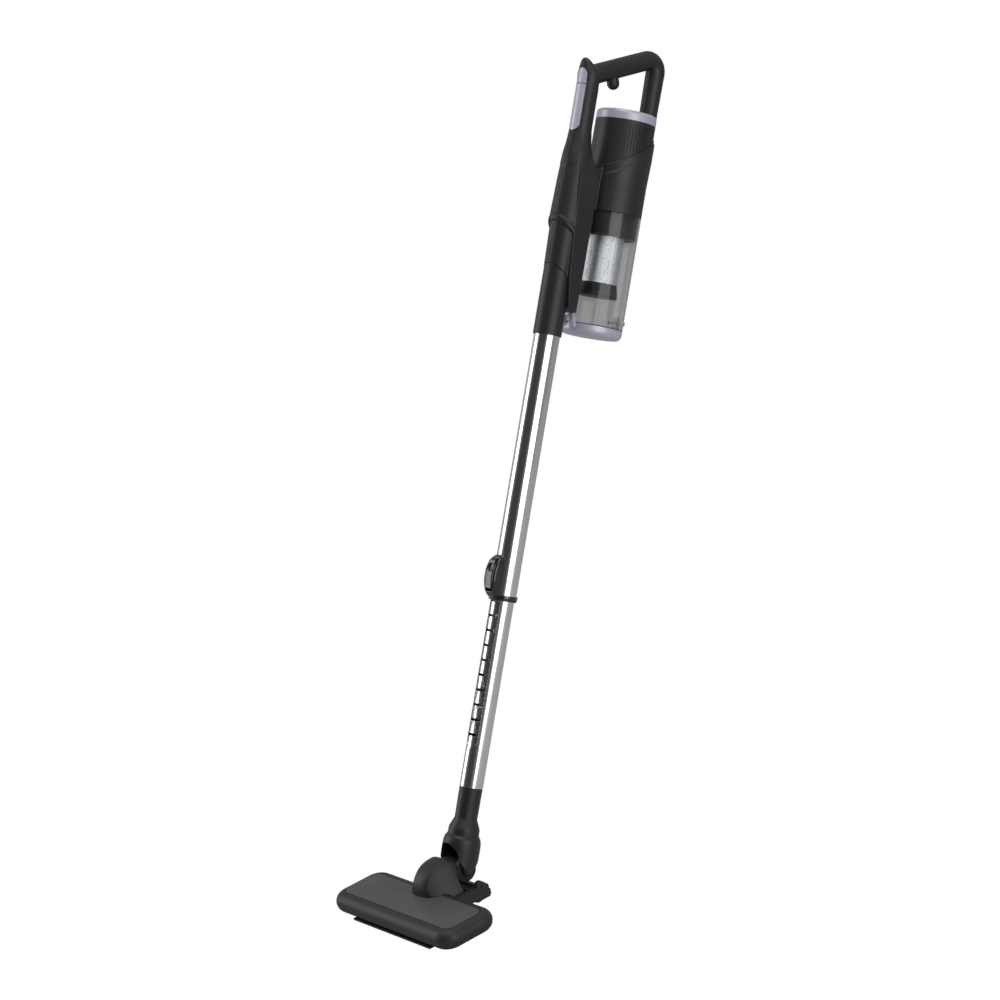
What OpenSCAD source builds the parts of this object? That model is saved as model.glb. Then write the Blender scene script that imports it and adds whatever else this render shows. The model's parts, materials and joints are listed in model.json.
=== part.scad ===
// Cordless stick vacuum. The floor head stands flat on Z = 0 with its centre at
// the origin, the stick leans back over +Y. Millimetres, +Z up.
// Stick pieces are drawn in the stick's own frame: x across, y to the rear,
// z along the stick from the neck pivot.

/* [Floor head] */
// width of the head
head_w = 252; // [210:1:303]
// depth of the head
head_d = 91; // [76:1:110]
// height of the head's rim over the floor
head_h = 31; // [26:0.5:37]
// plan radius of the head's corners
head_corner = 24; // [18:1:30]
// height of the neck pivot over the floor
neck_z = 42; // [40:0.5:50]
// lean of the stick from upright, degrees
lean = 26.25; // [15:0.25:35]

/* [Tubes] */
// outside diameter of the upper tube
tube_d = 35; // [29:0.5:42]
// wall of both tubes
tube_wall = 1; // [0.8:0.1:1.4]
// length of the lower tube that shows below the clamp
lower_show = 253; // [220:1:300]
// length of the upper tube between clamp and socket
upper_show = 355; // [296:1:426]
// spacing of the rack notches
notch_pitch = 20; // [17:0.5:24]

/* [Dust cup] */
// outside diameter of cup, shell and lid
cup_d = 84.2; // [76:0.2:92]
// length of the clear cup
cup_len = 152; // [130:1:180]
// gap between socket and cup
cup_gap = 13.8; // [13:0.1:17]
// wall of the clear cup
cup_wall = 2.2; // [1.8:0.1:3]

/* [Handset] */
// wall of the black housing
wall = 2.4; // [2:0.1:3]
// diameter of the spine column
spine_d = 30; // [27:0.5:33]
// thickness of the handle's top bar
bar_d = 26.8; // [24:0.2:30]
// thickness of the handle's rear post
post_d = 24.6; // [22:0.2:28]
// rise of the top bar to the rear, degrees
bar_rise = 24; // [20:0.5:28]
// height of the motor section over the cup
motor_len = 125; // [115:1:150]

/* [Hidden] */
$fn = 48;
run_fit = 0.05;
free_gap = 0.3;

// tubes
tube_r = tube_d / 2;
tube_ri = tube_r - tube_wall;
lower_r = tube_r - 1.75;
lower_ri = lower_r - tube_wall - 0.6;

// stations along the stick
neck_y = head_d / 2 + 38;
s_tube = 108;
s_clamp = s_tube + lower_show;
s_sock = s_clamp + upper_show;
tube_in = 60;
s_stop = s_sock + tube_in;
s_lid = s_sock + 10;
lid_h = 15;
s_cup = s_lid + lid_h;
s_shell = s_cup + cup_len;
s_ring = s_shell + motor_len;
ring_h = 13;

// handset sections
cup_r = cup_d / 2;
sock_r = tube_r + 1.7;
cup_t = sock_r + cup_gap + cup_r;
spine_r = spine_d / 2;
spine_t = -2;
lip_r = sock_r + 3.8;
duct_x = lip_r + 0.3;
duct_t = cup_t - cup_r - 7;
rim_r = cup_r + 1.3;
cover_r = cup_r - 1.4;
cover_ri = cover_r - wall;
shell_ri = cup_r - wall;

// handle loop, as points (t, s)
bar_r = bar_d / 2;
post_r = post_d / 2;
bar_t0 = spine_t;
bar_s0 = s_shell + 172;
post_t = cup_t + cup_r - 4.4;
knee_t = post_t - 21.8;
knee_s = bar_s0 + (knee_t - bar_t0) * tan(bar_rise);
post_s = knee_s - 12;
trig_u = 39.4;
trig_r = 8.4;
trig_tip = bar_r + 13.4;

// front strip, button, jack and screw stations
strip_s0 = s_shell + 96;
strip_s1 = s_shell + 158.2;
button_s0 = s_shell + 159.2;
button_s1 = s_shell + 179.5;
strip_w = 9.2;
jack_t = 12;
jack_s = s_shell - 4;
jack_r = 4;
jack_x = -duct_x + 10;
screw_r = 1.55;

// rack in the lower tube
rack_lo = s_tube + 52;
rack_hi = s_clamp + 90;
rack_half = 42;
rack_deep = 0.9;
notch_h = 3.6;
clamp_top = s_clamp + 58;
slider_s = s_clamp + 130;

// neck
yoke_x = 25.2;
drum_x = 18.2;
drum_r = 16.4;
ring_r = 22;
dome_r = 24.5;
dome_y = neck_y - 23.5;
pin_r = 2.5;

// head
roll_r = (head_h - 3.4) / 2;
roll_z = 3.4 + roll_r;
sole_z = 3.4;
panel_w = head_w - 25;
panel_d = head_d - 31;
arm_x = 42.5;
arm_w = 8;
axle_y = neck_y - 1.5;
axle_z = 11;
axle_r = 2;
wheel_r = 11;
roller_r = 5;
roller_x = head_w / 2 - 34;
roller_y = -head_d / 2 + 15;
mouth_x = head_w / 2 - 48;
mouth_y0 = -head_d / 2 + 22;
mouth_y1 = -head_d / 2 + 42;

// ---------- helpers ----------
module stick() {
  translate([0, neck_y, neck_z]) rotate([-lean, 0, 0]) children();
}

// plate drawn as (t, s) points, centred across x
module side_prism(pts, w) {
  rotate([90, 0, 90]) linear_extrude(height = w, center = true) polygon(pts);
}

// plate drawn as (x, s) points, between t0 and t1
module front_prism(pts, t0, t1) {
  translate([0, t1, 0]) rotate([90, 0, 0]) linear_extrude(height = t1 - t0) polygon(pts);
}

module box(x0, x1, t0, t1, s0, s1) {
  translate([x0, t0, s0]) cube([x1 - x0, t1 - t0, s1 - s0]);
}

module rod(r, s0, s1, t = 0, x = 0) {
  translate([x, t, s0]) cylinder(r = r, h = s1 - s0);
}

module tube_of(ro, ri, s0, s1, t = 0) {
  difference() {
    rod(ro, s0, s1, t);
    rod(ri, s0 - 1, s1 + 1, t);
  }
}

// rod along x, centred
module cross_rod(r, w, t, s, x = 0) {
  translate([x, t, s]) rotate([0, 90, 0]) cylinder(r = r, h = w, center = true);
}

// upright pill outline in (x, s), pushed from t0 to t1
module pill(half, s0, s1, t0, t1) {
  translate([0, t1, 0]) rotate([90, 0, 0]) linear_extrude(height = t1 - t0) union() {
    translate([-half, s0 + half]) square([2 * half, s1 - s0 - 2 * half]);
    translate([0, s0 + half]) circle(r = half);
    translate([0, s1 - half]) circle(r = half);
  }
}

// frame whose y runs along the handle's top bar
module along_bar(u = 0) {
  translate([0, bar_t0 + u * cos(bar_rise), bar_s0 + u * sin(bar_rise)])
    rotate([bar_rise, 0, 0]) children();
}

// ---------- housing ----------
function seam_s(t) = s_sock + 80 - 0.75 * t;
function lip_s(t) = s_shell - 43 - 0.75 * t;
function upper_s(t) = s_shell + 59 + 0.65 * (t - cup_t + cup_r);
function lower_s(t) = s_shell + 46 + 0.755 * (t - cup_t + cup_r - 1);

module below_seam(shift = 0) {
  side_prism([[-60, s_sock - 60], [90, s_sock - 60], [90, seam_s(90) + shift],
    [-60, seam_s(-60) + shift]], 120);
}

module spine_outer() {
  // lipped upper skin
  difference() {
    rotate_extrude() polygon([[0, s_shell - 60], [lip_r, s_shell - 60], [lip_r, s_shell - 14],
      [lip_r - 0.6, s_shell + 2], [lip_r - 1.7, s_shell + 36], [lip_r - 2.8, s_shell + 53],
      [lip_r - 4.2, s_shell + 67], [lip_r - 13, s_shell + 92], [0, s_shell + 92]]);
    side_prism([[-60, s_shell - 90], [60, s_shell - 90], [60, lip_s(60)], [-14.7, s_shell - 32],
      [-60, s_shell - 32]], 90);
  }
  // plain skin between lip and seam
  difference() {
    rotate_extrude() polygon([[0, s_sock + 40], [sock_r + 0.5, s_sock + 40],
      [sock_r + 0.5, s_sock + 96], [sock_r + 1.4, s_shell - 40], [sock_r + 1.4, s_shell - 20],
      [0, s_shell - 20]]);
    below_seam();
  }
  // column
  difference() {
    translate([0, spine_t, 0]) rotate_extrude() polygon([[0, s_shell + 50],
      [spine_r, s_shell + 50], [spine_r, s_shell + 187],
      [spine_r - 1.2, s_shell + 192], [spine_r - 4, s_shell + 196], [spine_r - 8, s_shell + 199],
      [0, s_shell + 199]]);
    side_prism([[-40, s_shell + 213], [30, s_shell + 178], [60, s_shell + 240],
      [-40, s_shell + 260]], 80);
  }
}

module duct_outer(k = 0) {
  // k shrinks the block on every side for its hollow
  intersection() {
    side_prism([[-8 + k, s_shell + 55 - k], [4, s_shell + 79 - k], [13, s_shell + 66 - k],
      [duct_t - 4 - k, s_shell + 48 - k], [duct_t - k, s_shell + 40 - k],
      [duct_t - k, s_shell - 5], [duct_t - 1 - k, s_sock + 70],
      [duct_t - 2 - k, s_sock + 35 + 2 * k], [9 + k, s_sock + 42 + 2 * k],
      [1 + k, s_sock + 86 + k], [-5 + k, s_shell - 15]], 2 * duct_x + 10);
    front_prism([[-duct_x + k, s_sock + 20], [duct_x - k, s_sock + 20],
      [duct_x - k, s_shell + 30], [12.5 - k, s_shell + 85],
      [-12.5 + k, s_shell + 85], [-duct_x + k, s_shell + 30]], -20, 60);
  }
}

module spine_hollow() {
  rotate_extrude() polygon([[0, s_sock + 40], [sock_r - 1.5, s_sock + 40],
    [sock_r - 1.5, s_shell - 26], [lip_r - wall - 0.8, s_shell - 20],
    [lip_r - wall - 0.8, s_shell + 2], [lip_r - wall - 2, s_shell + 36],
    [lip_r - wall - 3.2, s_shell + 53], [lip_r - wall - 5, s_shell + 67],
    [lip_r - wall - 11, s_shell + 84], [0, s_shell + 84]]);
  rod(spine_r - wall, s_shell + 50, s_shell + 181, spine_t);
}

module screw_bore(p) {
  cross_rod(screw_r, 17, p[0], p[1], -0.5);
  cross_rod(3.1, 60, p[0], p[1], -39);
}

spine_screws = [[duct_t - 4.5, s_sock + 62], [duct_t - 3.8, s_shell - 60],
  [bar_t0 - 4, s_shell + 185.5]];
handle_screws = [[knee_t - 6, knee_s - 6 * tan(bar_rise)], [post_t, s_ring + ring_h + 16]];

module housing_solid() {
  difference() {
    union() {
      spine_outer();
      difference() {
        duct_outer();
        rod(sock_r + 0.1, s_sock, s_sock + 66);
        intersection() {
          rod(sock_r + 0.1, s_sock, s_shell);
          below_seam();
        }
      }
    }
    difference() {
      union() {
        spine_hollow();
        duct_outer(wall);
      }
      for (p = spine_screws) cross_rod(4, 2 * duct_x, p[0], p[1]);
    }
    // way out to the cup
    box(-12.2, 12.2, 5, duct_t + 9, s_shell - 37.2, s_shell - 10.8);
    // pocket of the long strip
    intersection() {
      tube_of(spine_r + 3, spine_r - 1.5, s_shell + 90, s_shell + 165, spine_t);
      pill(9.35, strip_s0 - 0.15, strip_s1 + 9.5, -40, spine_t);
      box(-12, 12, -40, spine_t, s_shell + 60, strip_s1 + 0.15);
    }
    // mode button window
    intersection() {
      pill(9.5, strip_s1 - 12, button_s1 + free_gap, -40, spine_t - 4);
      box(-12, 12, -40, spine_t - 4, button_s0 - free_gap, s_shell + 190);
    }
    // way through to the handle bar
    along_bar(0) rotate([-90, 0, 0]) cylinder(r = 5, h = 25);
    cross_rod(jack_r, 40, jack_t, jack_s, jack_x - 20);
    for (p = spine_screws) screw_bore(p);
  }
}

module half_space(side) {
  box(side > 0 ? 0 : -200, side > 0 ? 200 : 0, -100, 300, s_sock - 100, s_shell + 400);
}

module housing_right() color("#232323") stick() intersection() {
  housing_solid();
  half_space(1);
}

module housing_left() color("#232323") stick() intersection() {
  housing_solid();
  half_space(-1);
}

module housing_screws() color("#8a8a8a") stick() for (p = concat(spine_screws, handle_screws)) {
  cross_rod(screw_r, 16.5, p[0], p[1], -0.75);
  cross_rod(3, 2.2, p[0], p[1], -10.1);
}

// shell over the cup, with the slanted stepped band and the rear rib
module main_shell() color("#232323") stick() difference() {
  union() {
    difference() {
      translate([0, cup_t, 0]) rotate_extrude() polygon([[0, s_shell], [cup_r, s_shell],
        [cup_r, s_shell + 42], [rim_r, s_shell + 78], [rim_r, s_shell + 130],
        [0, s_shell + 130]]);
      side_prism([[0, lower_s(0)], [160, lower_s(160)], [160, s_shell + 240],
        [0, s_shell + 240]], 140);
    }
    difference() {
      translate([0, cup_t, 0]) rotate_extrude() polygon([[0, s_shell + 20],
        [cup_r - 1.1, s_shell + 20], [cup_r, s_shell + 78], [cup_r, s_shell + 140],
        [0, s_shell + 140]]);
      side_prism([[0, upper_s(0)], [160, upper_s(160)], [160, s_shell + 240],
        [0, s_shell + 240]], 140);
    }
    rod(post_r, s_shell + 70, s_ring + ring_h + 0.1, post_t);
    side_prism([[duct_t, s_shell], [cup_t - cup_r + 6, s_shell], [cup_t - cup_r + 6, s_shell + 50],
      [duct_t + 4.6, s_shell + 50], [duct_t, s_shell + 40]], 28);
  }
  rod(shell_ri, s_shell + 3, s_shell + 44.1, cup_t);
  rod(cup_r - 14, s_shell - 1, s_shell + 4, cup_t);
  rod(cover_r + 0.1, s_shell + 44, s_ring + ring_h + 2, cup_t);
}

// ---------- handle loop ----------
mitre_lap = 0.08;

module limb_cut(r, a, b, k0, k1) {
  // rod from a to b whose ends are mitred at slopes k0 and k1, degrees
  dir = atan2(b[1] - a[1], b[0] - a[0]);
  len = norm([b[0] - a[0], b[1] - a[1]]);
  translate([0, a[0], a[1]]) rotate([dir - 90, 0, 0]) difference() {
    translate([0, 0, -40]) cylinder(r = r, h = len + 80);
    rotate([k0, 0, 0]) translate([-50, -90, -140 - mitre_lap]) cube([100, 180, 140]);
    translate([0, 0, len]) rotate([k1, 0, 0]) translate([-50, -90, mitre_lap]) cube([100, 180, 140]);
  }
}

knee = [knee_t, knee_s];
elbow = [post_t, post_s];
foot = [post_t, s_ring + ring_h + 0.2];
knee_dir = atan2(elbow[1] - knee[1], elbow[0] - knee[0]);

module handle_loop(r0, r1, r2, s0) {
  limb_cut(r0, [bar_t0, bar_s0], knee, 0, -(bar_rise - knee_dir) / 2);
  limb_cut(r1, knee, elbow, (bar_rise - knee_dir) / 2, -(knee_dir + 90) / 2);
  limb_cut(r2, elbow, [post_t, s0], (knee_dir + 90) / 2, 0);
}

module handle_solid() {
  difference() {
    union() {
      handle_loop(bar_r, post_r + 0.4, post_r, foot[1]);
      // gusset beside the trigger
      side_prism([[spine_t + 10, bar_s0 - 26], [spine_t + 15.5, bar_s0 - 18],
        [spine_t + 22, bar_s0 - 6], [spine_t + 10, bar_s0]], 18);
    }
    difference() {
      handle_loop(bar_r - wall, post_r + 0.4 - wall, post_r - wall, foot[1] + 3);
      for (p = handle_screws) cross_rod(4, 40, p[0], p[1]);
    }
    rod(spine_r + run_fit, s_shell + 90, s_shell + 260, spine_t);
    along_bar(trig_u) translate([0, 0, -bar_r - 3])
      cylinder(r = trig_r + free_gap, h = bar_r + 2);
    for (p = handle_screws) screw_bore(p);
  }
}

module handle_right() color("#262626") stick() intersection() {
  handle_solid();
  half_space(1);
}

module handle_left() color("#262626") stick() intersection() {
  handle_solid();
  half_space(-1);
}

module tube_socket() color("#232323") stick() difference() {
  union() {
    difference() {
      rod(sock_r, s_sock, s_sock + 120);
      side_prism([[-60, seam_s(-60) - 0.1], [60, seam_s(60) - 0.1], [60, s_sock + 200],
        [-60, s_sock + 200]], 90);
    }
    rod(sock_r - 1.55, s_stop - 6, s_shell - 43);
  }
  rod(tube_r + run_fit, s_sock - 1, s_stop);
  rod(tube_r - 2.5, s_stop - 1, s_shell);
  box(-sock_r - 5, -tube_r + 1, -2.8, 2.8, s_sock + 15, s_sock + 38);
}

// thumb slide that frees the tube
module socket_button() color("#3a3a3a") stick() {
  box(-sock_r - 2.6, -sock_r - 0.3, -6, 6, s_sock + 14, s_sock + 32);
  box(-sock_r - 0.4, -tube_r - 0.4, -2.4, 2.4, s_sock + 17, s_sock + 26);
  for (i = [0:3]) box(-sock_r - 3.3, -sock_r - 2.5, -5, 5, s_sock + 16 + 4 * i, s_sock + 18 + 4 * i);
}

module inlet_duct() color("#2c2c2c") stick() difference() {
  union() {
    rod(tube_r - 1.1, s_shell - 42.9, s_shell - 11);
    box(-12, 12, 4, cup_t - cup_r - 0.4, s_shell - 37, s_shell - 11);
  }
  rod(tube_r - 2.7, s_shell - 44, s_shell - 12.6);
  box(-10.4, 10.4, 0, cup_t, s_shell - 35.4, s_shell - 12.6);
}

module face_band(r0, r1) {
  tube_of(spine_r + r1, spine_r - r0, strip_s0 - 1, s_shell + 185, spine_t);
}

module mode_button() color("#c4c2cc") stick() {
  intersection() {
    face_band(1.3, 0.35);
    pill(strip_w, strip_s1 - 12, button_s1, -40, spine_t - 4);
    box(-12, 12, -40, spine_t - 4, button_s0, s_shell + 190);
  }
  box(-2.5, 2.5, spine_t - spine_r + 0.6, spine_t - spine_r + 2.8, button_s0 + 7, button_s0 + 12);
}

module status_strip() color("#c4c2cc") stick() intersection() {
  face_band(1.45, 0.35);
  pill(strip_w, strip_s0, strip_s1 + 9.5, -40, spine_t);
  box(-12, 12, -40, spine_t, s_shell + 60, strip_s1);
}

cell_r = 9.2;
cell_l = 50;
cell_s = s_shell - 7.5;

module battery_pack() color("#3f6f8f") stick() {
  rod(cell_r, cell_s, cell_s + cell_l, -7.2);
  rod(cell_r, cell_s, cell_s + cell_l, 11.7);
  rod(cell_r, s_shell + 58, s_shell + 58 + cell_l, 0.6);
  rod(cell_r, s_shell + 110, s_shell + 110 + cell_l, 0.6);
  box(-4, 4, 0, 4, s_shell - 4, s_shell + 40);
  box(-4, 4, -5, 5, s_shell + 41, s_shell + 60);
  box(-3, 3, -3, 3, s_shell + 106, s_shell + 112);
}

module control_board() color("#1f5a36") stick() {
  box(-7.2, 7.2, spine_t - 9.9, spine_t - 8.4, s_shell + 98, s_shell + 179);
  box(-3, 3, spine_t - 11.2, spine_t - 9.8, button_s0 + 6.5, button_s0 + 12.5);
  for (i = [0:4]) box(-1.5, 1.5, spine_t - 10.8, spine_t - 9.8, s_shell + 102 + 10 * i,
    s_shell + 105 + 10 * i);
}

module charge_jack() color("#161616") stick() difference() {
  cross_rod(jack_r - run_fit, 9.4, jack_t, jack_s, -duct_x + 5);
  cross_rod(2.75, 10, jack_t, jack_s, -duct_x);
}

module trigger() color("#2b2b2b") stick() along_bar(trig_u) {
  translate([0, 0, -trig_tip + trig_r]) {
    cylinder(r = trig_r, h = trig_tip - trig_r - 7);
    sphere(r = trig_r);
  }
  translate([-2, -10.4, -bar_r + 2.9]) cube([4, 20.8, 1.7]);
}

module trigger_switch() color("#202225") stick() along_bar(trig_u) {
  translate([-5, -8, 0]) cube([10, 16, 6]);
  translate([0, 0, -2.6]) cylinder(r = 2, h = 2.7);
}

// ---------- motor ----------
module motor_bulkhead() color("#2a2a2a") stick() difference() {
  rod(shell_ri - run_fit, s_shell + 40, s_shell + 43.6, cup_t);
  rod(16, s_shell + 30, s_shell + 50, cup_t);
  box(-12, 12, 0, cup_t - shell_ri + 6, s_shell + 38, s_shell + 45);
}

module motor_body() color("#9a9ca0") stick() difference() {
  union() {
    rod(29, s_shell + 66, s_shell + 106, cup_t);
    rod(12, s_shell + 60.5, s_shell + 67, cup_t);
    rod(10, s_shell + 105, s_shell + 110, cup_t);
  }
  rod(2.5 + run_fit, s_shell + 60, s_shell + 80, cup_t);
}

module impeller() color("#b8babd") stick() translate([0, cup_t, 0]) {
  rod(2.5, s_shell + 48, s_shell + 79);
  rod(6, s_shell + 49, s_shell + 59.8);
  rod(27, s_shell + 57.4, s_shell + 59);
  for (i = [0:8]) rotate([0, 0, 40 * i]) box(4, 26.5, -0.8, 0.8, s_shell + 50, s_shell + 57.6);
}

module mount_ring(s) {
  difference() {
    tube_of(cover_ri - run_fit, 29 + run_fit, s, s + 5, cup_t);
    for (i = [0:5]) translate([0, cup_t, 0]) rotate([0, 0, 60 * i + 30]) rod(2.9, s - 1, s + 6, 0, 33.7);
  }
}

module motor_mounts() color("#1a1a1a") stick() {
  mount_ring(s_shell + 68);
  mount_ring(s_shell + 98);
}

module motor_cover() color("#1f1f1f") stick() difference() {
  tube_of(cover_r, cover_ri, s_shell + 44.2, s_ring, cup_t);
  // fine upright flutes round the back
  translate([0, cup_t, 0]) for (i = [-20:20]) if (abs(i) > 2)
    rotate([0, 0, 6.4 * i]) box(-0.8, 0.8, cover_r - 0.9, cover_r + 2, s_shell + 62, s_ring - 5);
}

module exhaust_filter() color("#d8d8d2") stick() difference() {
  rod(cover_ri - run_fit, s_ring - 13, s_ring - 3, cup_t);
  for (i = [-8:8]) box(-30, 30, cup_t + 4 * i - 0.8, cup_t + 4 * i + 0.8, s_ring - 8, s_ring);
}

module exhaust_ring() color("#c4c2cc") stick() translate([0, cup_t, 0]) rotate_extrude($fn = 96)
  polygon([[cover_r - 5, s_ring], [cover_r, s_ring], [cover_r, s_ring + ring_h - 3.5],
    [cover_r - 0.4, s_ring + ring_h - 2], [cover_r - 1.4, s_ring + ring_h - 0.6],
    [cover_r - 3, s_ring + ring_h], [cover_r - 5, s_ring + ring_h]]);

module exhaust_grille() color("#1d1d1d") stick() difference() {
  rod(cover_r - 5 - run_fit, s_ring + 7, s_ring + 10.5, cup_t);
  for (i = [-7:7]) let (half = cover_r - 12 - 1.6 * abs(i))
    box(-half, half, cup_t + 4 * i - 0.9, cup_t + 4 * i + 0.9, s_ring, s_ring + 20);
}

// ---------- cup ----------
cup_ri = cup_r - cup_wall;
hinge_t = cup_t - cup_r - 3.7;
hinge_s = s_cup + 9;
latch_t = cup_t + cup_r + 3.1;
latch_s = s_cup + 11;
port_t = cup_t - cup_r + 0.2;

module dust_cup() color("#dfe6ea") stick() difference() {
  union() {
    tube_of(cup_r, cup_ri, s_cup, s_shell - free_gap, cup_t);
    difference() {
      box(-13.5, 13.5, port_t, cup_t - cup_r + 6, s_shell - 40, s_shell - 8);
      rod(cup_ri, s_shell - 60, s_shell, cup_t);
    }
    // hinge lug
    difference() {
      union() {
        cross_rod(2.8, 8.8, hinge_t, hinge_s);
        box(-4.4, 4.4, hinge_t, cup_t - cup_r + 1.5, hinge_s - 2.8, hinge_s + 2.8);
      }
      rod(cup_ri, s_cup, s_shell, cup_t);
    }
    // latch lugs
    for (k = [-1, 1]) difference() {
      translate([k * 11.3, 0, 0]) box(-1.4, 1.4, cup_t + cup_r - 5, latch_t + 2, latch_s - 2.6,
        latch_s + 2.6);
      rod(cup_ri, s_cup, s_shell, cup_t);
    }
  }
  box(-10.4, 10.4, 0, cup_t - 30, s_shell - 35.4, s_shell - 12.6);
  cross_rod(pin_small + run_fit, 30, hinge_t, hinge_s);
  cross_rod(pin_small, 40, latch_t, latch_s);
}
pin_small = 1.3;

module cup_seal() color("#141414") stick()
  tube_of(cup_ri - run_fit, cup_ri - 5, s_shell - 4, s_shell - free_gap, cup_t);

module cyclone_head() color("#242424") stick() difference() {
  rod(cup_ri - run_fit, s_shell - 31, s_shell - 4.2, cup_t);
  rod(cup_ri - 3, s_shell - 27.5, s_shell, cup_t);
  rod(20.5, s_shell - 40, s_shell, cup_t);
  box(-12.2, 12.2, 0, cup_t - 27, s_shell - 40, s_shell - 11.6);
}

module mesh_filter() color("#b9bcc0") stick() difference() {
  tube_of(24.5, 23.3, s_cup + 58, s_shell - 31.1, cup_t);
  translate([0, cup_t, 0]) for (j = [0:4]) for (i = [0:7]) rotate([0, 0, 45 * i + 22.5 * (j % 2)])
    translate([0, 0, s_cup + 64 + 9.5 * j]) rotate([0, 90, 0]) cylinder(r = 1.3, h = 30, $fn = 16);
}

module cyclone_skirt() color("#1c1c1c") stick() translate([0, cup_t, 0]) rotate_extrude($fn = 96)
  polygon([[0, s_cup + 40], [26.5, s_cup + 40], [28.4, s_cup + 41], [27, s_cup + 46],
    [25.2, s_cup + 54], [24.8, s_cup + 57.9], [18.5, s_cup + 57.9], [18.5, s_cup + 43],
    [0, s_cup + 43]]);

module fine_filter() color("#e8e8e2") stick() translate([0, cup_t, 0]) difference() {
  translate([0, 0, s_cup + 59]) linear_extrude(height = s_shell - 13 - s_cup - 59)
    polygon([for (i = [0:71]) let (r = i % 2 == 0 ? 20.2 : 17.4) [r * cos(5 * i), r * sin(5 * i)]]);
  rod(13.5, s_cup + 62, s_shell);
}

lid_lip = s_cup - 1.2;
module cup_lid() color("#c4c2cc") stick() {
  difference() {
    translate([0, cup_t, 0]) rotate_extrude($fn = 96) polygon([[0, s_lid], [cup_r - 7, s_lid],
      [cup_r - 4, s_lid + 0.9], [cup_r - 1.6, s_lid + 3.2], [cup_r - 0.3, s_lid + 6],
      [cup_r, s_lid + 8], [cup_r, lid_lip], [0, lid_lip]]);
    rod(cup_r - 2.4, s_lid + 9, s_cup + 1, cup_t);
    rod(cup_r - 9, s_lid + 2.2, s_cup + 1, cup_t);
  }
  // ears up to the hinge
  for (k = [-1, 1]) difference() {
    union() {
      translate([k * 9, 0, 0]) cross_rod(2.8, 8, hinge_t, hinge_s);
      translate([k * 9, 0, 0]) side_prism([[hinge_t - 2.8, hinge_s], [hinge_t + 2.8, hinge_s],
        [cup_t - cup_r + 6, lid_lip - 1], [cup_t - cup_r + 6, s_lid + 7],
        [cup_t - cup_r + 1, s_lid + 7], [hinge_t - 1, s_cup]], 8);
    }
    rod(cup_r + free_gap, lid_lip, s_shell, cup_t);
    rod(cup_r - 2.4, s_lid + 9, s_shell, cup_t);
    cross_rod(pin_small + run_fit, 60, hinge_t, hinge_s);
  }
  // catch for the latch
  difference() {
    box(-4.4, 4.4, cup_t + cup_r - 3, cup_t + cup_r + 1.4, s_lid + 6.5, s_lid + 9);
    rod(cup_r - 2.4, s_lid, s_shell, cup_t);
  }
}

module lid_seal() color("#101010") stick()
  tube_of(cup_r - 0.2, cup_r - 4.4, lid_lip, s_cup - 0.15, cup_t);

module hinge_pin() color("#a8a8a8") stick() cross_rod(pin_small, 26, hinge_t, hinge_s);

module lid_latch() color("#191919") stick() difference() {
  union() {
    pill(8.6, s_cup - 4, s_cup + 20.5, latch_t - 1.2, latch_t + 1.3);
    box(-4, 4, latch_t - 1.2, latch_t + 1.3, s_lid + 3.2, s_cup + 2);
    box(-4, 4, cup_t + cup_r + 0.3, latch_t, s_lid + 3.2, s_lid + 6.2);
    cross_rod(2.3, 19.2, latch_t, latch_s);
  }
  cross_rod(pin_small + run_fit, 60, latch_t, latch_s);
}

module latch_pin() color("#a8a8a8") stick() cross_rod(pin_small, 25.4, latch_t, latch_s);

// ---------- tubes ----------
module upper_tube() color("#d4d6d8") stick() difference() {
  tube_of(tube_r, tube_ri, s_clamp + 0.4, s_stop - 0.4);
  box(-6.4, 6.4, -tube_r - 3, -8, s_clamp + 7, s_clamp + 18);
}

rock_t = -tube_r - 6.4;
rock_s = s_clamp + 26;
pod_t = -tube_r - 13;

module clamp_body() color("#1b1b1b") stick() difference() {
  union() {
    rod(tube_r + 1.9, s_clamp + 0.4, s_clamp + 5.4);
    intersection() {
      pill(11, s_clamp + 0.4, clamp_top, pod_t, -4);
      side_prism([[-4, s_clamp], [-tube_r - 4, s_clamp + 0.2], [-tube_r - 8, s_clamp + 4],
        [pod_t + 1.2, s_clamp + 14], [pod_t, s_clamp + 25], [pod_t, s_clamp + 38],
        [pod_t + 2, s_clamp + 49], [pod_t + 7, s_clamp + 56], [-tube_r - 1, clamp_top],
        [-4, clamp_top]], 30);
    }
  }
  rod(tube_r, s_clamp - 5, clamp_top + 5);
  // well of the rocker
  box(-6.7, 6.7, pod_t - 5, -12, s_clamp + 6.5, s_clamp + 53);
  cross_rod(1.5, 40, rock_t, rock_s);
}

module clamp_rocker() color("#262626") stick() difference() {
  union() {
    side_prism([[pod_t + 1.5, s_clamp + 12], [pod_t - 0.4, s_clamp + 24], [pod_t - 0.4, s_clamp + 38],
      [pod_t + 2, s_clamp + 49], [pod_t + 4, s_clamp + 51.5], [pod_t + 7, s_clamp + 51.5],
      [pod_t + 5, rock_s + 6], [rock_t + 3.2, rock_s], [rock_t + 2, s_clamp + 15.5],
      [-lower_r - 0.2, s_clamp + 15.5], [-lower_r + 0.45, s_clamp + 12.6],
      [-lower_r + 0.45, s_clamp + 9.5], [-lower_r - 0.2, s_clamp + 9.2],
      [-tube_r - 4.5, s_clamp + 9.2]], 10.6);
    cross_rod(3.1, 12.8, rock_t, rock_s);
  }
  // thumb hollow
  translate([0, pod_t - 7.2, s_clamp + 41]) sphere(r = 10);
  cross_rod(1.5 + run_fit, 40, rock_t, rock_s);
}

module rocker_pin() color("#a8a8a8") stick() cross_rod(1.5, 21, rock_t, rock_s);

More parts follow.
